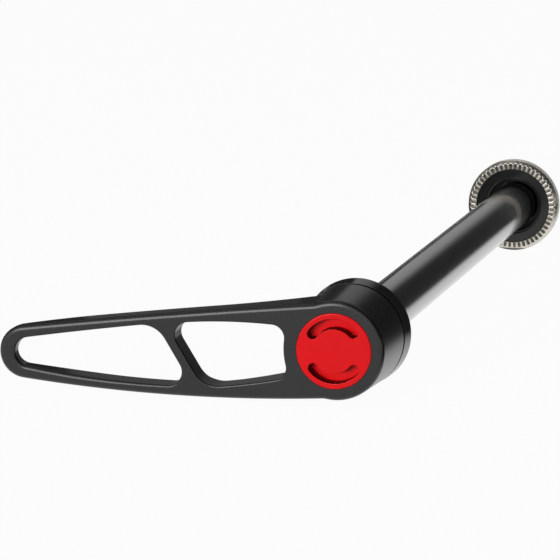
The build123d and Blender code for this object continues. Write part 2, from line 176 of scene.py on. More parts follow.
def steadyShading(piece):
    # Flat runs keep one shade and the small rounds between them take the turn.
    mesh = piece.data
    mesh.edges.foreach_set("use_edge_sharp", faceAngles(mesh) >= np.radians(surface["crease"]))
    modifier = piece.modifiers.new("steadyShading", "WEIGHTED_NORMAL")
    modifier.mode, modifier.weight, modifier.keep_sharp = "FACE_AREA", 100, True
    return piece


# Materials, with real sizes in millimetres
skin = {
    "noise": {"From Min": 0.3, "From Max": 0.7},  # middle range of a noise, which is stretched from 0 to 1
    "relief": 0.02,  # height that a full bump stands for
    "cloud": 14.0,  # width of the clouds in the dye
    "anodisedSpread": 0.05,  # how far the roughness goes up and down
    "steelSpread": 0.08,
    "steelBump": 0.15,
    "coatRough": 0.08,
    "hollowShade": {"From Min": 0.5, "From Max": 0.97, "To Min": 0.06},  # openness of a hollow to the share of colour that the painted shade leaves
    "walls": {"From Min": 0.35, "From Max": 0.8},  # share that faces along the axle to the share of colour that the painted wall shade leaves
    "plasticIor": 1.46,
}


def linear(code):
    # sRGB hex to the linear colour that nodes take
    channel = np.array([int(code[place : place + 2], 16) for place in (1, 3, 5)]) / 255
    low = channel / 12.92
    high = ((channel + 0.055) / 1.055) ** 2.4
    return (*np.where(channel <= 0.04045, low, high), 1.0)


def addNode(tree, kind, inputs=None, **settings):
    # one node with its settings, and its inputs set to values or linked from sockets
    node = tree.nodes.new(kind)
    for name, value in settings.items():
        setattr(node, name, value)
    for name, value in (inputs or {}).items():
        if isinstance(value, bpy.types.NodeSocket):
            tree.links.new(value, node.inputs[name])
        else:
            node.inputs[name].default_value = value
    return node


def newMaterial(name):
    # material with an empty tree to build on
    material = bpy.data.materials.new(name)
    material.use_nodes = True
    material.node_tree.nodes.clear()
    return material, material.node_tree


def grainSkin(tree, grain, bump, rough, spread=0.0, detail=2.0):
    # Grain of a size in millimetres: its share from 0 to 1 for the colour, and the shader's inputs that it
    # drives, which are the relief and a roughness that goes up and down by spread. The real grain is too fine
    # to show, so it is drawn coarser.
    place = addNode(tree, "ShaderNodeTexCoord").outputs["Object"]
    noise = addNode(
        tree, "ShaderNodeTexNoise", {"Vector": place, "Scale": 1 / (grain * mm), "Detail": detail}
    )
    pattern = noise.outputs["Fac"]
    share = addNode(tree, "ShaderNodeMapRange", {"Value": pattern, **skin["noise"]}).outputs["Result"]
    relief = addNode(
        tree, "ShaderNodeBump", {"Height": pattern, "Strength": bump, "Distance": skin["relief"] * mm}
    )
    inputs = {"Normal": relief.outputs["Normal"], "Roughness": rough}
    if spread:
        reach = {"Value": share, "To Min": rough - spread, "To Max": rough + spread}
        inputs["Roughness"] = addNode(tree, "ShaderNodeMapRange", reach).outputs["Result"]
    return share, inputs


def dyed(share, dark, light):
    # inputs of a mix from dark to light, whose colours are its sockets 6 and 7
    return {"Factor": share, 6: linear(dark), 7: linear(light)}


def anodisedMaterial(name, dark, light, rough, grain, bump, coat=0.0):
    # Black dyed anodised aluminium over a blasted or turned skin: a nearly black body, a clear oxide gloss, a
    # fine grain that breaks the gloss, and a faint cloudiness from the dye bath.
    material, tree = newMaterial(name)
    _, inputs = grainSkin(tree, grain, bump, rough, spread=skin["anodisedSpread"])
    place = addNode(tree, "ShaderNodeTexCoord").outputs["Object"]
    cloud = addNode(
        tree, "ShaderNodeTexNoise", {"Vector": place, "Scale": 1 / (skin["cloud"] * mm), "Detail": 3.0}
    )
    share = addNode(tree, "ShaderNodeMapRange", {"Value": cloud.outputs["Fac"], **skin["noise"]})
    colour = addNode(tree, "ShaderNodeMix", dyed(share.outputs["Result"], dark, light), data_type="RGBA")
    inputs |= {"Base Color": colour.outputs[2], "Coat Weight": coat, "Coat Roughness": skin["coatRough"]}
    shader = addNode(tree, "ShaderNodeBsdfPrincipled", inputs)
    addNode(tree, "ShaderNodeOutputMaterial", {"Surface": shader.outputs["BSDF"]})
    return material


def steelMaterial(name, dark, light, rough, grain, hollow=0.0):
    # Bare machined steel: a warm grey mirror broken by tool marks, and darkened by painted shade in hollows
    # narrower than hollow, in millimetres.
    material, tree = newMaterial(name)
    share, inputs = grainSkin(tree, grain, skin["steelBump"], rough, skin["steelSpread"], detail=4.0)
    colour = addNode(tree, "ShaderNodeMix", dyed(share, dark, light), data_type="RGBA").outputs[2]
    if hollow:
        # painted shade: ambient occlusion darkens the colour in hollows
        openness = addNode(tree, "ShaderNodeAmbientOcclusion", {"Distance": hollow * mm}, samples=8)
        shadeShare = addNode(tree, "ShaderNodeMapRange", {"Value": openness.outputs["AO"], **skin["hollowShade"]})
        shadeInputs = {0: colour, "Scale": shadeShare.outputs["Result"]}
        colour = addNode(tree, "ShaderNodeVectorMath", shadeInputs, operation="SCALE").outputs["Vector"]
    inputs |= {"Base Color": colour, "Metallic": 1.0}
    shader = addNode(tree, "ShaderNodeBsdfPrincipled", inputs)
    addNode(tree, "ShaderNodeOutputMaterial", {"Surface": shader.outputs["BSDF"]})
    return material


def plasticMaterial(name, dark, light, rough, grain, bump, shine=0.5, walls=1.0):
    # Moulded plastic: an even dye with a soft sheen, and the faint skin of an eroded mould. Walls that stand
    # along the axle get painted shade and keep only the share walls of the colour.
    material, tree = newMaterial(name)
    share, inputs = grainSkin(tree, grain, bump, rough)
    colour = addNode(tree, "ShaderNodeMix", dyed(share, dark, light), data_type="RGBA").outputs[2]
    if walls < 1:
        # painted shade: walls that face across the axle are darkened
        normal = addNode(tree, "ShaderNodeTexCoord").outputs["Normal"]
        along = addNode(tree, "ShaderNodeSeparateXYZ", {"Vector": normal}).outputs["Y"]
        facing = addNode(tree, "ShaderNodeMath", {0: along}, operation="ABSOLUTE").outputs["Value"]
        shadeShare = addNode(tree, "ShaderNodeMapRange", {"Value": facing, "To Min": walls, **skin["walls"]})
        shadeInputs = {0: colour, "Scale": shadeShare.outputs["Result"]}
        colour = addNode(tree, "ShaderNodeVectorMath", shadeInputs, operation="SCALE").outputs["Vector"]
    inputs |= {"Base Color": colour, "IOR": skin["plasticIor"], "Specular IOR Level": shine}
    shader = addNode(tree, "ShaderNodeBsdfPrincipled", inputs)
    addNode(tree, "ShaderNodeOutputMaterial", {"Surface": shader.outputs["BSDF"]})
    return material


# Each finish has its name, dark and light colour, roughness and grain in millimetres. Then come the bump and
# coat of an anodised one, the reach of the painted shade in the hollows of a steel, and the bump, shine and
# painted wall shade of a plastic.
finish = {
    "lever": anodisedMaterial("satinBlackAnodisedForging", "#131415", "#17181a", 0.26, 0.12, 0.08),
    "axle": anodisedMaterial("satinBlackAnodisedTube", "#131415", "#17181a", 0.22, 0.10, 0.04, 0.75),
    "collar": anodisedMaterial("glossBlackAnodisedTurning", "#0b0b0c", "#0e0e10", 0.12, 0.10, 0.03),
    "nut": anodisedMaterial("blackAnodisedNut", "#0e0f10", "#121314", 0.18, 0.10, 0.05),
    "cap": plasticMaterial("redMouldedNylon", "#e40b13", "#e80e17", 0.26, 0.2, 0.05, 0.25, 0.06),
    "grip": steelMaterial("serratedBareSteel", "#c4bfb6", "#dcd8ce", 0.31, 0.6, 0.7),
    "bare": steelMaterial("groundSteel", "#a8a5a0", "#c4c1bc", 0.32, 0.8),
    "spring": steelMaterial("drawnSpringWire", "#8d8d8f", "#a9a9ab", 0.28, 0.5),
    "blackSteel": anodisedMaterial("blackOxideSteel", "#141414", "#1a1a1b", 0.42, 0.10, 0.10),
    "acetal": plasticMaterial("blackMouldedAcetal", "#1c1c1d", "#202021", 0.45, 0.2, 0.06),
    "nylon": plasticMaterial("blackMouldedNylon", "#202021", "#252526", 0.5, 0.2, 0.06),
}
nodeFinish = {
    "lever": ("lever", "lever_black"),
    "ratchet_insert": ("bare", "bare_steel"),
    "cover_cap": ("cap", "cap_red"),
    "return_spring": ("spring", "spring_steel"),
    "spring_washer": ("bare", "bare_steel"),
    "retaining_screw": ("blackSteel", "black_steel"),
    "ratchet_head": ("bare", "bare_steel"),
    "axle_tube": ("axle", "axle_black"),
    "clamp_collar": ("collar", "collar_black"),
    "collar_grip_ring": ("grip", "grip_steel"),
    "slip_washer": ("acetal", "slip_plastic"),
    "collar_snap_ring": ("spring", "spring_steel"),
    "nut_body": ("nut", "nut_black"),
    "nut_grip_ring": ("grip", "grip_steel"),
    "nut_lock_insert": ("nylon", "lock_nylon"),
}


def paint(piece, look):
    # one finish for the whole piece
    piece.data.materials.clear()
    piece.data.materials.append(finish[look])


def dress(piece, node, body):
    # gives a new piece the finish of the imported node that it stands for, and lets it ride on that node's body
    look, slotName = nodeFinish[node]
    paint(piece, look)
    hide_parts(node)
    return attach(piece, body)


for node, (look, _) in nodeFinish.items():
    paint(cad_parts[node], look)
print("materials:", len(finish))

# Lever: forged frame with a bowed outline, two windows, a slanted web and a hub
lever = {
    "tip": (-60.5, -3.2),
    "tipRadius": 5.15,
    "hubRadius": 9.5,
    "armStep": 0.4,  # the arm's edges aim this far inside the hub's rim
    "hubBlend": 3.0,
    "blendNear": -2.5,  # rough place of the two blends along the arm
    "topBow": 1500.0,
    "bottomBow": 325.0,
    "straightBow": 2500.0,  # a straight edge is an arc of this radius
    "web": (-30.64, -1.2),
    "webAngle": 58.5,
    "webWidth": 1.8,
    "tipBar": 2.4,
    "tipWindowShift": (0.75, 0.1),
    "tipWindowBars": (2.3, 1.98),
    "tipWindowBows": (900.0, 190.0),
    "tipWindowCorners": (5.0, 2.7),
    "hubWindowGap": 0.26,
    "hubWindowWall": 12.8,
    "hubWindowBars": (2.2, 1.98),
    "hubWindowEnds": (4.2, -5.45),
    "hubWindowBows": (110.0, 150.0),
    "hubWindowCorners": (2.6, 2.5, 2.3, 5.2),
    "depths": {"tip": (-67.2, 1.4), "knee": (-46.2, 5.4), "root": (-24.0, 5.9), "hub": (2.0, 13.6)},
    "scoop": 0.5,  # relief behind the web
    "scoopMargin": 2.4,
    "scoopReach": 7.5,
    "scoopSoft": 0.9,
    "frontRound": (1.1, 1.1),  # at the hub and at the tip
    "windowRound": (0.4, 0.85),
    "backRound": 0.6,
    "roundGrows": (-26.0, -54.0),
    "capBore": 7.27,
    "chamber": 6.6,
    "insertBore": 7.6,
    "insertFront": 11.2,
    "capSeat": 1.7,
    "flare": 0.6,
    "backChamfer": 0.25,
    "hubLap": 0.9,  # the turned hub starts this far inside the rim, in the arm
    "hubOut": (0.01, 1.0),  # how far it stands past the rim, and where
    "innerRound": 0.02,
    "flareRound": 0.06,
    "hubBackRound": 0.05,
    "spacing": 1.2,  # between points along an edge
    "turnStep": 0.12,  # between points round a corner, in radians
    "roundRows": 9,
    "boreSegments": 128,
    "hubSegments": 192,
    "gridStep": 0.7,  # between the points inside the back
    "gridRoom": 0.6,  # share of that step which they keep from the edges
}


def between(low, high, value):
    # smooth step from 0 to 1: s * s * (3 - 2 s) of the share s
    share = np.clip((value - low) / (high - low), 0, 1)
    return share * share * (3 - 2 * share)


def bowArc(start, startRadius, end, endRadius, radius, bulge):
    # Arc tangent inside two circles, by the cosine rule in the triangle of the three centres. An arc is
    # (x, z, radius, sense).
    start, end = np.array(start), np.array(end)
    span = np.hypot(*(end - start))
    near, far = radius - startRadius, radius - endRadius
    lean = np.arccos((near**2 + span**2 - far**2) / (2 * near * span))
    angle = np.arctan2(*(end - start)[::-1]) - bulge * lean
    return (start[0] + near * np.cos(angle), start[1] + near * np.sin(angle), radius, 1)


def straightArc(start, end):
    # Straight edge as a very large arc, with the loop's inside and so the centre on its left
    start, end = np.array(start), np.array(end)
    along = (end - start) / np.hypot(*(end - start))
    middle = (start + end) / 2 + lever["straightBow"] * np.array([-along[1], along[0]])
    return (*middle, lever["straightBow"], 1)


def arcHeight(arc, x, bulge):
    # height of an arc at x: its centre's, up or down by the root of radius squared less (x - centre) squared
    return arc[1] + bulge * np.sqrt(arc[2] ** 2 - (x - arc[0]) ** 2)


def meeting(first, second, radius, sense, near):
    # Centre of a corner arc: it is radius away from both edges, so it is where the two edges' circles meet
    # after each is moved by radius. Of the two such points, the one nearest the corner is taken.
    reach = [edge[2] - edge[3] * sense * radius for edge in (first, second)]
    centres = np.array([first[:2], second[:2]])
    apart = np.hypot(*(centres[1] - centres[0]))
    along = (centres[1] - centres[0]) / apart
    foot = (reach[0] ** 2 - reach[1] ** 2 + apart**2) / (2 * apart)
    aside = np.sqrt(max(reach[0] ** 2 - foot**2, 0))
    options = centres[0] + foot * along + np.outer([1, -1], aside * np.array([-along[1], along[0]]))
    return options[np.argmin(np.hypot(*(options - near).T))]


def touch(edge, spot):
    # point of an edge's circle on the line from its centre through a spot
    away = spot - np.array(edge[:2])
    return np.array(edge[:2]) + away * edge[2] / np.hypot(*away)


def arcLoop(edges, corners):
    # Closed path of arcs. corners holds, after each edge, the corner's radius, sense and rough place. Points
    # are centre + radius (cos, sin), and inward is towards the centre, or away from it on a hollow arc.
    following = [*edges[1:], edges[0]]
    spots = [meeting(*pair, *corner) for *pair, corner in zip(edges, following, corners)]
    arcs = []
    for place, edge in enumerate(edges):
        end = touch(edge, spots[place])
        arcs.append((edge, touch(edge, spots[place - 1]), end))
        radius, sense, _ = corners[place]
        if radius:
            arcs.append(((*spots[place], radius, sense), end, touch(following[place], spots[place])))
    points, inward = [], []
    for (x, z, radius, sense), start, end in arcs:
        first, last = (np.arctan2(spot[1] - z, spot[0] - x) for spot in (start, end))
        sweep = sense * ((sense * (last - first)) % (2 * np.pi))
        steps = int(max(abs(sweep) * radius / lever["spacing"], abs(sweep) / lever["turnStep"], 1)) + 1
        angle = first + sweep * np.arange(steps) / steps
        ray = np.stack([np.cos(angle), np.sin(angle)], 1)
        points.append(np.array([x, z]) + radius * ray)
        inward.append(-sense * ray)
    return np.concatenate(points), np.concatenate(inward)


def leverEdges():
    # top and bottom edge of the arm: bows tangent inside the tip's circle and one just inside the hub's rim
    radius = lever["hubRadius"] - lever["armStep"]
    sides = lever["tip"], lever["tipRadius"], (0, 0), radius
    return bowArc(*sides, lever["topBow"], 1), bowArc(*sides, lever["bottomBow"], -1)


def outlineLoop():
    # Bottom edge, hub, top edge and tip, with hollow blends beside the hub
    top, bottom = leverEdges()
    rim, blend = lever["hubRadius"], lever["hubBlend"]
    tip, radius = np.array(lever["tip"]), lever["tipRadius"]
    corners = [
        (blend, -1, np.array([lever["blendNear"], -rim])),
        (blend, -1, np.array([lever["blendNear"], rim])),
        (0, 1, tip + [0, radius]),
        (0, 1, tip - [0, radius]),
    ]
    return arcLoop([bottom, (0, 0, rim, 1), top, (*tip, radius, 1)], corners)


def webEdge(height, side):
    # Point at a height on one side of the web: x falls by height / tan(slant), and half the web's width is
    # 1 / sin(slant) longer along x.
    slant = np.radians(lever["webAngle"])
    x, z = lever["web"]
    half = lever["webWidth"] / 2 / np.sin(slant)
    return np.array([x - (height - z) / np.tan(slant) + side * half, height])


def windowHeights(bars):
    # heights of a window's corners at the web: the arm's two edges there, less the bars
    top, bottom = leverEdges()
    return arcHeight(top, lever["web"][0], 1) - bars[0], arcHeight(bottom, lever["web"][0], -1) + bars[1]


def tipWindowLoop():
    # Bottom bow, web, top bow and a round end
    high, low = (webEdge(height, -1) for height in windowHeights(lever["tipWindowBars"]))
    end = np.array(lever["tip"]) + lever["tipWindowShift"]
    radius = lever["tipRadius"] - lever["tipBar"]
    top = bowArc(end, radius, high, 0, lever["tipWindowBows"][0], 1)
    bottom = bowArc(end, radius, low, 0, lever["tipWindowBows"][1], -1)
    corners = [
        (lever["tipWindowCorners"][1], 1, low),
        (lever["tipWindowCorners"][0], 1, high),
        (0, 1, end + [0, radius]),
        (0, 1, end - [0, radius]),
    ]
    return arcLoop([bottom, straightArc(low, high), top, (*end, radius, 1)], corners)


def hubWindowLoop():
    # Bottom bow, the hub's hollow wall, top bow and web
    high, low = (webEdge(height, 1) for height in windowHeights(lever["hubWindowBars"]))
    wall = lever["hubWindowWall"]
    middle = wall - lever["hubRadius"] - lever["hubWindowGap"]
    ends = np.array(lever["hubWindowEnds"])
    highHub, lowHub = np.stack([middle - np.sqrt(wall**2 - ends**2), ends], 1)
    top = bowArc(high, 0, highHub, 0, lever["hubWindowBows"][0], 1)
    bottom = bowArc(low, 0, lowHub, 0, lever["hubWindowBows"][1], -1)
    radii = lever["hubWindowCorners"]
    corners = [(radii[2], 1, lowHub), (radii[1], 1, highHub), (radii[0], 1, high), (radii[3], 1, low)]
    return arcLoop([bottom, (middle, 0, wall, -1), top, straightArc(high, low)], corners)


def boreLoop():
    # circle of the cap's bore: radius (cos, sin), with its inward direction
    angle = np.linspace(0, 2 * np.pi, lever["boreSegments"], endpoint=False)
    ray = np.stack([np.cos(angle), np.sin(angle)], 1)
    return lever["capBore"] * ray, -ray


def armDepth(spot):
    # Depth of the arm behind its front: a straight run from knee to root, an arc tangent to it out to the
    # tip, and an arc tangent to it into the hub, less a soft scoop behind the web.
    place = {name: np.array(value) for name, value in lever["depths"].items()}
    x, z = spot[..., 0], spot[..., 1]
    run = (place["root"] - place["knee"]) / np.hypot(*(place["root"] - place["knee"]))
    across = np.array([-run[1], run[0]])
    depth = place["knee"][1] + (x - place["knee"][0]) * run[1] / run[0]
    for start, end in (("knee", "tip"), ("root", "hub")):
        chord = place[end] - place[start]
        radius = (chord @ chord) / (2 * chord @ across)
        centre = place[start] + radius * across
        arc = centre[1] - np.sign(radius) * np.sqrt(np.maximum(radius**2 - (x - centre[0]) ** 2, 0))
        beyond = x < place[start][0] if end == "tip" else x > place[start][0]
        depth = np.where(beyond, arc, depth)
    depth = np.where(x > place["hub"][0], place["hub"][1], depth)
    room = [edge[2] - np.hypot(x - edge[0], z - edge[1]) - lever["scoopMargin"] for edge in leverEdges()]
    slant = np.radians(lever["webAngle"])
    fromWeb = (x - lever["web"][0]) * np.sin(slant) + (z - lever["web"][1]) * np.cos(slant)
    inside = np.minimum(np.minimum(*room), lever["scoopReach"] - np.abs(fromWeb))
    return depth - lever["scoop"] * between(0, lever["scoopSoft"], inside)


def edgeRows(points, intoMetal, rounds):
    # Wall of a loop: a quarter round from the front, a straight wall, and a quarter round to the back. The
    # inset goes by radius * (1 - sin) in front and radius * (1 - cos) behind, and the front radius grows
    # towards the tip. A loop without a front round has none behind.
    front = rounds[0] + (rounds[1] - rounds[0]) * between(*lever["roundGrows"], points[:, 0])
    back = np.full(len(points), lever["backRound"] if rounds[0] else 0.0)
    rows = lever["roundRows"]
    swing = np.linspace(0, np.pi / 2, rows)[:, None]
    inset = np.concatenate([front * (1 - np.sin(swing)), back * (1 - np.cos(swing))])
    spot = points + intoMetal * inset[..., None]
    depth = np.concatenate(
        [front * (1 - np.cos(swing)), armDepth(spot[rows:]) - back * (1 - np.sin(swing))]
    )
    return np.stack([spot[..., 0], hubFront + depth, spot[..., 1]], -1)


def insideLoop(spots, loop):
    # Even-odd rule: a ray to +x crosses the loop an odd number of times
    first, second = loop, np.roll(loop, -1, 0)
    x, z = spots[:, :1], spots[:, 1:]
    straddles = (first[:, 1] > z) != (second[:, 1] > z)
    rise = np.where(second[:, 1] == first[:, 1], 1e-12, second[:, 1] - first[:, 1])
    crossing = first[:, 0] + (z - first[:, 1]) / rise * (second[:, 0] - first[:, 0])
    return (straddles & (x < crossing)).sum(1) % 2 == 1


def fillBetween(loops, height, step):
    # Triangles between the outer loop and the holes, laid on a height function. Where step isn't 0, a square
    # grid of extra points lies between the edges.
    loops = [np.float32(loop).astype(float) for loop in loops]  # the triangulation works in single precision
    spots = np.concatenate(loops)
    edges, start = [], 0
    for loop in loops:
        index = np.arange(start, start + len(loop))
        edges.append(np.stack([index, np.roll(index, -1)], 1))
        start += len(loop)
    if step:
        corners = zip(loops[0].min(0), loops[0].max(0))
        lines = [np.arange(low + step, high, step) for low, high in corners]
        square = np.stack(np.meshgrid(*lines), -1).reshape(-1, 2)
        away = np.hypot(*(square[:, None] - spots[None, ::2]).transpose(2, 0, 1)).min(1)
        keep = (away > lever["gridRoom"] * step) & insideLoop(square, loops[0])
        spots = np.concatenate([spots, square[keep]])
    links = np.concatenate(edges).tolist()
    places, _, faces, *_ = delaunay_2d_cdt([Vector(spot) for spot in spots], links, [], 1, 1e-6)
    places, faces = np.array([tuple(place) for place in places]), np.array([tuple(face) for face in faces])
    middle = places[faces].mean(1)
    solid = insideLoop(middle, loops[0])
    for hole in loops[1:]:
        solid &= ~insideLoop(middle, hole)
    return np.stack([places[:, 0], hubFront + height(places), places[:, 1]], -1), faces[solid]


def leverArm():
    # Walls of the outline, the windows and the bore, closed by a flat front and a back at the arm's depth
    loops = [
        (*outlineLoop(), 1, lever["frontRound"]),
        (*tipWindowLoop(), -1, lever["windowRound"]),
        (*hubWindowLoop(), -1, lever["windowRound"]),
        (*boreLoop(), -1, (0, 0)),
    ]
    parts, fronts, backs = [], [], []
    for points, inward, side, rounds in loops:
        rows = edgeRows(points, side * inward, rounds)
        parts.append((rows.reshape(-1, 3), gridQuads(*rows.shape[:2], closeRows=False)))
        fronts.append(rows[0][:, [0, 2]])
        backs.append(rows[-1][:, [0, 2]])
    parts.append(fillBetween(fronts, lambda spots: 0 * spots[:, 0], 0))
    parts.append(fillBetween(backs, armDepth, lever["gridStep"]))
    starts = np.cumsum([0] + [len(points) for points, _ in parts])
    faces = [face for (_, faces), start in zip(parts, starts) for face in (faces + start).tolist()]
    spots = np.concatenate([points for points, _ in parts]) * mm
    return meshPiece("leverFrame", spots, faces, turnOut=True)


def hubLine():
    # hub section behind the arm: ledge for the cap, flared side, broken back edge and the insert's bore
    length = hubBack - hubFront
    rim, seat, chamfer = lever["hubRadius"], lever["capSeat"], lever["backChamfer"]
    proud, outDepth = lever["hubOut"]
    small, edge = lever["innerRound"], lever["hubBackRound"]
    corners = np.array(
        [
            (lever["chamber"], seat, small),
            (rim - lever["hubLap"], seat, small),
            (rim + proud, outDepth, small),
            (rim + lever["flare"], length - chamfer, lever["flareRound"]),
            (rim + lever["flare"] - chamfer, length, edge),
            (lever["insertBore"], length, edge),
            (lever["insertBore"], lever["insertFront"], small),
            (lever["chamber"], lever["insertFront"], small),
        ]
    )
    return roundedLine(corners + [0, hubFront, 0])


leverPiece = leverArm()
hubPiece = gridPiece("leverHub", turnedGrid(hubLine(), lever["hubSegments"]))
union = leverPiece.modifiers.new("hub", "BOOLEAN")
union.operation, union.object, union.solver = "UNION", hubPiece, "MANIFOLD"
joined = bpy.data.meshes.new_from_object(leverPiece.evaluated_get(bpy.context.evaluated_depsgraph_get()))
joined.shade_smooth()
leverPiece.modifiers.clear()
leverPiece.data = joined
bpy.data.objects.remove(hubPiece)
dress(steadyShading(leverPiece), "lever", "lever")
print("lever: frame and hub,", len(joined.polygons), "faces")

# Axle: smooth tube with a fine thread at the nut's end
axle = {
    "bore": 6.4,
    "chamfer": 0.6,
    "endRow": 1.0,  # rows this far from the ends keep the long tube's shade even
    "threadStart": 1.3,  # behind the nut's clamping face, inside its recess
    "pitch": 1.0,
    "threadDepth": 0.52,
    "crest": 0.12,  # share of the wave that is flat on top
    "flank": 0.76,  # share that falls to the root
    "rowsPerPitch": 12,
    "segments": 128,
}


def axleGrid():
    # Tube section carried round the axle. On the threaded rows the radius drops by the thread's depth times a
    # flat-topped triangle wave of (station / pitch + turn), which winds the groove into a right-hand helix.
    front, end = axleLow[1], axleHigh[1]
    start = nutFace + axle["threadStart"]
    run = end - axle["chamfer"] - start
    threadRows = np.linspace(start, start + run, int(run / axle["pitch"] * axle["rowsPerPitch"]))
    outside = np.concatenate([[front, front + axle["endRow"], start - axle["endRow"]], threadRows, [end]])
    station = np.concatenate([outside, [end, front]])[:, None]
    radius = np.full(station.shape, axleRadius)
    radius[len(outside) - 1] = axleRadius - axle["chamfer"]
    radius[len(outside) :] = axle["bore"] / 2
    turn = np.linspace(0, 1, axle["segments"], endpoint=False)
    wave = np.abs((station / axle["pitch"] + turn) % 1 - 0.5) * 2
    groove = np.clip((wave - axle["crest"]) / axle["flank"], 0, 1)
    onThread = (np.arange(len(station)) < len(outside) - 1)[:, None]
    runIn = np.clip((station - start) / axle["pitch"], 0, 1)
    radius = radius - axle["threadDepth"] * groove * runIn * onThread
    return roundGrid(radius, station, 2 * np.pi * turn)


dress(steadyShading(gridPiece("threadedAxle", axleGrid())), "axle_tube", "axle")
print("axle: threaded tube")

# Collar: turned ring with softened edges
collar = {
    "taper": 0.3,
    "edge": 0.5,
    "grip": 9.62,
    "counterbore": 7.65,
    "floor": 0.9,
    "boreRoom": 0.08,
    "frontRound": 0.06,
    "sideRound": 0.3,
    "backRound": 0.2,
    "innerRound": 0.05,
    "segments": 160,
}


def collarLine():
    # half section as (radius, station, corner round)
    outer, front, back = collarHigh[0], collarLow[1], collarHigh[1]
    seat = collarGripLow[1]
    floorFront = seat - collar["floor"]
    bore = axleRadius + collar["boreRoom"]
    small = collar["innerRound"]
    return roundedLine(
        [
            (collar["counterbore"], front, small),
            (outer - collar["taper"], front, collar["frontRound"]),
            (outer, back - collar["edge"], collar["sideRound"]),
            (outer, back, collar["backRound"]),
            (collar["grip"], back, small),
            (collar["grip"], seat, small),
            (bore, seat, small),
            (bore, floorFront, small),
            (collar["counterbore"], floorFront, small),
        ]
    )


collarPiece = gridPiece("clampCollar", turnedGrid(collarLine(), collar["segments"]))
dress(steadyShading(collarPiece), "clamp_collar", "collar")
print("collar: turned ring")

# Nut: stepped recess, annulus and tapered back, with every edge broken
nut = {
    "spigot": 8.48,
    "recess": 6.5,
    "recessDepth": 0.8,
    "bore": 6.05,
    "boreDepth": 4.2,
    "insert": 2.0,
    "back": 6.9,
    "shoulder": 1.0,
    "backChamfer": 0.6,
    "threadRoom": 0.08,
    "threadChamfer": 0.5,
    "faceRound": 0.14,
    "taperRound": 0.5,
    "edgeRound": 0.12,
    "innerRound": 0.03,
    "segments": 160,
}


def nutLine():
    # half section as (radius, station, corner round)
    face, back, ringBack = nutLow[1], nutHigh[1], nutGripHigh[1]
    recessFloor = face + nut["recessDepth"]
    insertBack = face + nut["boreDepth"] + nut["insert"]
    shaft = axleRadius + nut["threadRoom"]
    shoulder = nutHigh[0]
    edge, small = nut["edgeRound"], nut["innerRound"]
    return roundedLine(
        [
            (nut["recess"], face, nut["faceRound"]),
            (nut["spigot"], face, nut["faceRound"]),
            (nut["spigot"], ringBack, small),
            (shoulder, ringBack, edge),
            (shoulder, ringBack + nut["shoulder"], nut["taperRound"]),
            (nut["back"], back - nut["backChamfer"], edge),
            (nut["back"] - nut["backChamfer"], back, edge),
            (shaft + nut["threadChamfer"], back, edge),
            (shaft, back - nut["threadChamfer"], edge),
            (shaft, insertBack, small),
            (nut["bore"], insertBack, small),
            (nut["bore"], recessFloor, edge),
            (nut["recess"], recessFloor, small),
        ]
    )


nutPiece = gridPiece("roundNut", turnedGrid(nutLine(), nut["segments"]))
dress(steadyShading(nutPiece), "nut_body", "nut")
print("nut: turned body")

# Grip rings: pressed radial serrations on the two clamping faces
grip = {
    "teeth": 52,
    "depth": 0.5,
    "share": 0.8,
    "crestRound": 0.18,
    "rootSlope": 0.35,
    "perTooth": 16,
    "nutWidth": 1.95,
    "collarWidth": 2.8,
    "chamfer": 0.8,
    "chamferRounds": (0.12, 0.25),
    "nutRunOut": (0.95, 0.45),  # from the ring's side
    "faceShares": (0.3, 0.55, 0.75),  # rows across the face and the chamfer, which let the valleys bend
    "chamferShares": (0.8, 0.6, 0.4),
    "rowRound": 0.001,
    "grooveSetback": 2.1,
    "grooveWidth": 0.3,
    "grooveDepth": 0.2,
    "edgeRound": 0.08,
    "smallRound": 0.03,
}


def grippedGrid(line, face, direction, inner, runOut=None):
    # Ring section carried round the axle, with V valleys pressed into the clamping face: a point's valley
    # sinks by depth * (1 - distance across the valley / half its width), softened at crest and root and run
    # out between the two radii of runOut, and what lies in front of the valley's floor is pushed back to it.
    turn = np.linspace(0, 1, grip["teeth"] * grip["perTooth"], endpoint=False)
    radius, station = line[:, :1], line[:, 1:]
    fromCrest = np.abs((turn * grip["teeth"] + 0.5) % 1 - 0.5)
    across = (0.5 - fromCrest) * 2 * np.pi / grip["teeth"] * radius  # distance from the valley's middle
    halfWidth = grip["share"] * np.pi * inner / grip["teeth"]
    sink = grip["depth"] * (1 - across / halfWidth)
    soft = grip["crestRound"] * grip["depth"]
    sink = (sink + np.sqrt(sink**2 + soft**2) - soft) / 2  # soft crest
    root = grip["depth"] * (1 - grip["crestRound"])
    sink = np.where(sink > root, root + (sink - root) * grip["rootSlope"], sink)  # soft root
    if runOut is not None:
        sink = sink * between(runOut[1], runOut[0], radius)
    behind = (face - station) * direction  # distance from the clamping face into the ring
    station = station - direction * np.maximum(sink - behind, 0)
    return roundGrid(radius, station, 2 * np.pi * turn + np.pi / 2)


def nutGripLine():
    # ring section: serrated face, outer chamfer, side with a thin groove, back and bore
    outer, face, back = nutGripHigh[0], nutFace, nutGripHigh[1]
    inner, grooveFloor = outer - grip["nutWidth"], outer - grip["grooveDepth"]
    grooveFront = face + grip["grooveSetback"]
    grooveBack = grooveFront + grip["grooveWidth"]
    chamfer, land = grip["chamfer"], outer - grip["chamfer"] - inner
    edge, small, row = grip["edgeRound"], grip["smallRound"], grip["rowRound"]
    return roundedLine(
        [
            (inner, face, edge),
            *((inner + share * land, face, row) for share in grip["faceShares"]),
            (outer - chamfer, face, grip["chamferRounds"][0]),
            *((outer - part * chamfer, face + (1 - part) * chamfer, row) for part in grip["chamferShares"]),
            (outer, face + chamfer, grip["chamferRounds"][1]),
            (outer, grooveFront, small),
            (grooveFloor, grooveFront, small),
            (grooveFloor, grooveBack, small),
            (outer, grooveBack, small),
            (outer, back, edge),
            (inner, back, small),
        ]
    )


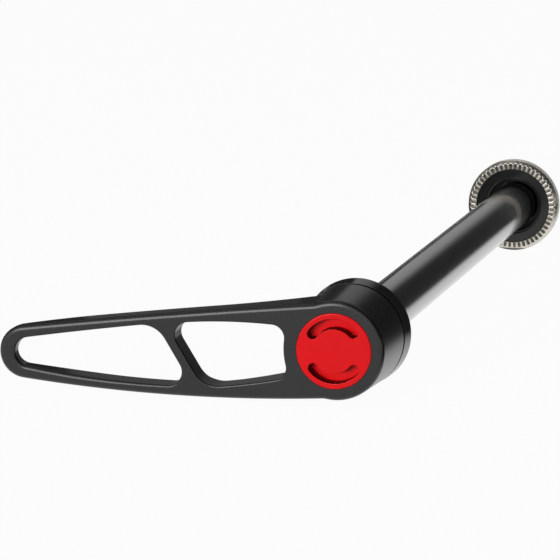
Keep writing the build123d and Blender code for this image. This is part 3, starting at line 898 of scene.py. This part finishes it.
def collarGripLine():
    # plain ring section under the serrated face
    outer, face, seat = collarGripHigh[0], clampFace, collarGripLow[1]
    inner = outer - grip["collarWidth"]
    edge, small = grip["edgeRound"], grip["smallRound"]
    return roundedLine([(inner, face, edge), (outer, face, edge), (outer, seat, small), (inner, seat, small)])


nutRunOut = nutGripHigh[0] - np.array(grip["nutRunOut"])
nutRing = grippedGrid(nutGripLine(), nutFace, -1, nutGripHigh[0] - grip["nutWidth"], nutRunOut)
dress(gridPiece("nutGripRing", nutRing), "nut_grip_ring", "nut")
collarRing = grippedGrid(collarGripLine(), clampFace, 1, collarGripHigh[0] - grip["collarWidth"])
dress(gridPiece("collarGripRing", collarRing), "collar_grip_ring", "collar")
print("grip rings: serrated faces")

# Cap: moulded disc with two curved finger slots
cap = {
    "bevel": 0.25,
    "bevelRound": 0.9,  # share of the bevel
    "flange": 1.9,
    "flangeRound": 0.03,
    "boss": 6.58,
    "bossRound": 0.1,
    "bossBore": 3.45,
    "bossBoreRound": 0.05,
    "slotRadii": (4.15, 6.165),
    "slotDepth": 2.6,
    "slotArc": 98.0,
    "slotAngles": (93.5, 270.0),
    "slotLip": 0.12,
    "segments": 360,
    "rings": 90,
}


def capGrid():
    # Polar grid of the disc. The slots sink by their depth where the distance to the slot's arc is under half
    # its width, over a rounded lip. Rows run from the middle of the front over the rim to the back's middle.
    front, back, radius = capLow[1], capHigh[1], capHigh[0]
    seat, small = front + cap["flange"], cap["flangeRound"]
    faceRows = np.linspace(0, radius - cap["bevel"], cap["rings"])
    rim = roundedLine(
        [
            (radius - cap["bevel"], front, 0),
            (radius, front + cap["bevel"], cap["bevel"] * cap["bevelRound"]),
            (radius, seat, small),
            (cap["boss"], seat, small),
            (cap["boss"], back, cap["bossRound"]),
            (cap["bossBore"], back, cap["bossBoreRound"]),
            (cap["bossBore"], seat, small),
            (0, seat, 0),
        ],
        closed=False,
    )
    line = np.concatenate([np.stack([faceRows, 0 * faceRows + front], 1), rim[1:]])
    grid = turnedGrid(line, cap["segments"])
    face = grid[: cap["rings"]]
    inner, outer = cap["slotRadii"]
    middle, halfWidth = (outer + inner) / 2, (outer - inner) / 2
    limit = np.radians(cap["slotArc"] / 2)
    sink = np.zeros(face.shape[:2])
    for turned in np.radians(cap["slotAngles"]):
        along = face[..., 0] * np.cos(turned) + face[..., 2] * np.sin(turned)
        across = face[..., 2] * np.cos(turned) - face[..., 0] * np.sin(turned)
        swing = np.clip(np.arctan2(across, along), -limit, limit)
        away = np.hypot(along - middle * np.cos(swing), across - middle * np.sin(swing))
        overLip = np.clip((halfWidth - away) / cap["slotLip"], 0, 1)
        sink = np.maximum(sink, cap["slotDepth"] * (1 - np.sqrt(1 - overLip**2)))
    face[..., 1] += sink
    return grid


dress(gridPiece("coverCap", capGrid(), closeRows=False), "cover_cap", "lever")
print("cap: disc with curved slots")

# Return spring: wire carried along a helix
spring = {"wire": 0.7, "turns": 2.75, "perTurn": 64, "round": 16}


def springGrid():
    # Circle of the wire carried along a helix: the circle's plane is spanned by the outward direction and the
    # direction square to both that and the helix's tangent. The end rows shrink to the wire's centre.
    radius = springHigh[0] - spring["wire"] / 2
    bottom, top = springHigh[1] - spring["wire"] / 2, springLow[1] + spring["wire"] / 2
    share = np.linspace(0, 1, int(spring["turns"] * spring["perTurn"]))
    share = np.concatenate([[0], share, [1]])
    angle = 2 * np.pi * spring["turns"] * share
    path = roundGrid(radius, bottom + (top - bottom) * share, angle)
    outward = roundGrid(1, 0, angle)
    rise = (top - bottom) / (2 * np.pi * spring["turns"])
    tangent = unit(roundGrid(radius, rise, angle + np.pi / 2))
    beside = np.cross(tangent, outward)
    thick = np.full(len(share), spring["wire"] / 2)
    thick[[0, -1]] = 0
    turn = np.linspace(0, 2 * np.pi, spring["round"], endpoint=False)[:, None]
    ring = outward[:, None] * np.cos(turn) + beside[:, None] * np.sin(turn)
    return path[:, None] + thick[:, None, None] * ring


springPiece = dress(gridPiece("returnSpring", springGrid(), closeRows=False), "return_spring", "spring_seat")
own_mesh(springPiece)

# Floor, in metres like the cloths and lamps
floor = {
    "colour": "#f4f4f3",
    "plane": {"middle": (0, 0, floorHeight * mm), "size": (8.0, 8.0)},
    "ownLight": 0.96,  # share that is plain white to the eye, the rest keeps the shadow
}
white = (1, 1, 1, 1)


def backgroundRays(tree):
    # 1 for rays that show the background: from the camera, and by gloss or glass
    path = addNode(tree, "ShaderNodeLightPath").outputs
    shown = path["Is Camera Ray"]
    for ray in ("Is Glossy Ray", "Is Transmission Ray"):
        shown = addNode(tree, "ShaderNodeMath", {0: shown, 1: path[ray]}, operation="MAXIMUM").outputs[0]
    return shown


def flatPiece(name, plane):
    # Rectangle round its middle: each corner is half the size away along the directions right and up, and it
    # lies flat where they aren't given.
    right, up = (np.array(plane.get(*side)) for side in (("right", (1, 0, 0)), ("up", (0, 1, 0))))
    corner = np.array([[-1, -1], [1, -1], [1, 1], [-1, 1]]) * plane["size"] / 2
    spots = np.array(plane["middle"]) + corner[:, :1] * right + corner[:, 1:] * up
    return meshPiece(name, spots, [(0, 1, 2, 3)])


def paperMaterial():
    # White paper sweep: matt, and bright enough to read as the background
    material, tree = newMaterial("whitePaper")
    matt = addNode(tree, "ShaderNodeBsdfDiffuse", {"Color": linear(floor["colour"])}).outputs["BSDF"]
    bright = addNode(tree, "ShaderNodeEmission", {"Color": white, "Strength": 1.0}).outputs["Emission"]
    share = addNode(
        tree, "ShaderNodeMath", {0: backgroundRays(tree), 1: floor["ownLight"]}, operation="MULTIPLY"
    )
    paper = addNode(tree, "ShaderNodeMixShader", {"Fac": share.outputs[0], 1: matt, 2: bright})
    addNode(tree, "ShaderNodeOutputMaterial", {"Surface": paper.outputs["Shader"]})
    return material


floorPiece = flatPiece("floor", floor["plane"])
floorPiece.data.materials.append(paperMaterial())
print("floor: white paper")

# Glowing cloths and cards that show only in gloss, which paint reflections onto the glossy parts. A fade is a
# coordinate, where it is full and where it is dark.
darkLevel = 0.045  # what they show where they are dark
skirtHeight = floorHeight * mm + 0.0003
cloths = {
    "rightSkirt": {  # on the floor to the right, white beside the axle and dark further out
        "middle": (0.506, 0.585, skirtHeight),
        "size": (0.988, 1.23),
        "level": 1.0,
        "fades": [("X", 0.014, 0.042)],
    },
    "leftSkirt": {  # the same to the left
        "middle": (-0.204, 0.262, skirtHeight),
        "size": (0.392, 0.476),
        "level": 1.0,
        "fades": [("X", -0.010, -0.022)],
    },
    "greyCard": {  # behind the nut, for the grey band along the axle
        "middle": (-0.02, 0.45, 0.13),
        "size": (0.30, 0.20),
        "up": (0, 0, 1),
        "level": 0.45,
        "fades": [("X", -0.106, -0.122), ("X", -0.045, 0.045), ("Z", 0.054, 0.034)],
    },
    "sideCloth": {  # over the right, for the dark side of the steel ring
        "middle": (0.40, -0.05, 0.44),
        "size": (0.7, 1.0),
        "right": (0, 1, 0),
        "up": (-0.74, 0, 0.67),
        "level": darkLevel,
    },
    "windowCard": {  # behind the lever, for the walls of its windows
        "middle": (-0.0405, 0.022, 0.001),
        "size": (0.045, 0.023),
        "up": (0, 0, 1),
        "level": 0.19,
    },
}
hood = {  # dark over the back and the top, paler high up, which shows the form from above
    "radius": 0.85,
    "middle": (0, 0.08, 0),
    "lift": (-1.0, 102.0),  # degrees
    "steps": (49, 33),
    "level": 0.6,
    "fades": [("Z", 0.72, 0.45), ("Y", 0.30, 0.12)],
}
ringCard = {  # close behind the nut's steel ring, for the ring's side, in millimetres
    "radii": (9.6, 12.0),
    "angles": (-15.0, 112.0),
    "behind": 7.0,
    "steps": 25,
    "level": 0.9,
}


def clothMaterial(name, cloth):
    # Glowing cloth that paints a reflection: it shows its level and falls smoothly to the dark level where a
    # fade says so
    material, tree = newMaterial(name)
    place = addNode(tree, "ShaderNodeTexCoord").outputs["Object"]
    axes = addNode(tree, "ShaderNodeSeparateXYZ", {"Vector": place}).outputs
    level = cloth["level"]
    for axis, full, dark in cloth.get("fades", []):
        level = addNode(
            tree,
            "ShaderNodeMapRange",
            {"Value": axes[axis], "From Min": dark, "From Max": full, "To Min": darkLevel, "To Max": level},
            interpolation_type="SMOOTHSTEP",
        ).outputs["Result"]
    shown = addNode(tree, "ShaderNodeEmission", {"Color": white, "Strength": level})
    addNode(tree, "ShaderNodeOutputMaterial", {"Surface": shown.outputs["Emission"]})
    return material


def hoodPiece():
    # Part of a ball: x = radius cos(u), y = radius sin(u) cos(e) and z = radius sin(u) sin(e), with u from
    # side to side and e from the horizon behind up over the top.
    across, upward = hood["steps"]
    side = np.linspace(0, np.pi, across)
    lift = np.radians(np.linspace(*hood["lift"], upward))[:, None]
    ball = [np.cos(side) + 0 * lift, np.sin(side) * np.cos(lift), np.sin(side) * np.sin(lift)]
    spots = np.stack(ball, -1) * hood["radius"] + hood["middle"]
    return meshPiece("blackHood", spots.reshape(-1, 3), gridQuads(upward, across, False, False).tolist())


def ringCardPiece():
    # part of a flat ring round the axle
    angle = np.radians(np.linspace(*ringCard["angles"], ringCard["steps"]))
    radius = np.array(ringCard["radii"])[:, None]
    return gridPiece("whiteCard", roundGrid(radius, nutFace + ringCard["behind"], angle), False, False)


def hang(piece, look, cloth):
    # gives a cloth its glowing material and hides it from all rays but gloss
    piece.data.materials.append(clothMaterial(look, cloth))
    piece.visible_camera = piece.visible_diffuse = piece.visible_shadow = False


hang(hoodPiece(), "blackCloth", hood)
for name, cloth in cloths.items():
    hang(flatPiece(name, cloth), name, cloth)
hang(ringCardPiece(), "whiteCard", ringCard)
print("cloths and cards:", len(cloths) + 2)

# Light: a white world that only the eye and gloss see in full, and three soft boxes
worldLight = 0.1  # what the world gives to other rays
lamps = {
    "frontBox": {
        "spot": (-0.39, -0.77, 0.5),
        "aim": (0, 0, 0),
        "size": (0.6, 0.5),
        "watts": 5.5,
        "shows": "gloss",
    },
    "keyBox": {
        "spot": (-0.28, -0.85, 0.09),
        "aim": (0, 0, 0.02),
        "size": (0.4, 0.14),
        "watts": 5.8,
        "shows": "diffuse",
    },
    "topBox": {
        "spot": (-0.1, 0.05, 0.9),
        "aim": (0, 0.05, 0),
        "size": (0.9, 0.7),
        "watts": 0.7,
        "shows": "diffuse",
    },
}
world = bpy.data.worlds.new("studio")
bpy.context.scene.world = world
world.use_nodes = True
sky = world.node_tree
sky.nodes.clear()
skyLevel = addNode(
    sky, "ShaderNodeMapRange", {"Value": backgroundRays(sky), "To Min": worldLight, "To Max": 1.0}
)
air = addNode(sky, "ShaderNodeBackground", {"Color": white, "Strength": skyLevel.outputs["Result"]})
addNode(sky, "ShaderNodeOutputWorld", {"Surface": air.outputs["Background"]})
for name, lamp in lamps.items():
    light = bpy.data.lights.new(name, "AREA")
    light.shape = "RECTANGLE"
    light.size, light.size_y = lamp["size"]
    light.energy = lamp["watts"]
    box = bpy.data.objects.new(name, light)
    spot = Vector(lamp["spot"])
    facing = (spot - Vector(lamp["aim"])).to_track_quat("Z", "Y")
    box.matrix_world = Matrix.Translation(spot) @ facing.to_matrix().to_4x4()
    box.visible_glossy = lamp["shows"] == "gloss"
    box.visible_diffuse = lamp["shows"] == "diffuse"
    bpy.context.scene.collection.objects.link(box)
print("light: world and", len(lamps), "lamps")

# Camera, in millimetres and degrees
view = {
    "azimuth": 14.359,
    "elevation": 10.289,
    "distance": 722.246,
    "across": 14.905,
    "above": -9.858,
    "forward": -0.6,
    "focalPixels": 3778.335,
    "framePixels": 560,
    "sensor": 36,
    "sight": 20000,
}
turn, tilt = np.radians(view["azimuth"]), np.radians(view["elevation"])
backward = np.array([np.sin(turn) * np.cos(tilt), -np.cos(turn) * np.cos(tilt), np.sin(tilt)])
right = np.array([np.cos(turn), np.sin(turn), 0])
upward = np.cross(backward, right)
stand = view["distance"] * backward - view["across"] * right - view["above"] * upward
stand = (stand + [0, view["forward"], 0]) * mm
lens = bpy.data.cameras.new("photoView")
lens.sensor_width = view["sensor"]
lens.lens = view["focalPixels"] * view["sensor"] / view["framePixels"]
lens.clip_end = view["sight"] * mm
camera = bpy.data.objects.new("photoView", lens)
pose = np.eye(4)
pose[:3] = np.stack([right, upward, backward, stand], 1)
camera.matrix_world = Matrix(pose.tolist())
bpy.context.scene.collection.objects.link(camera)
bpy.context.scene.camera = camera
print("camera: photo view")
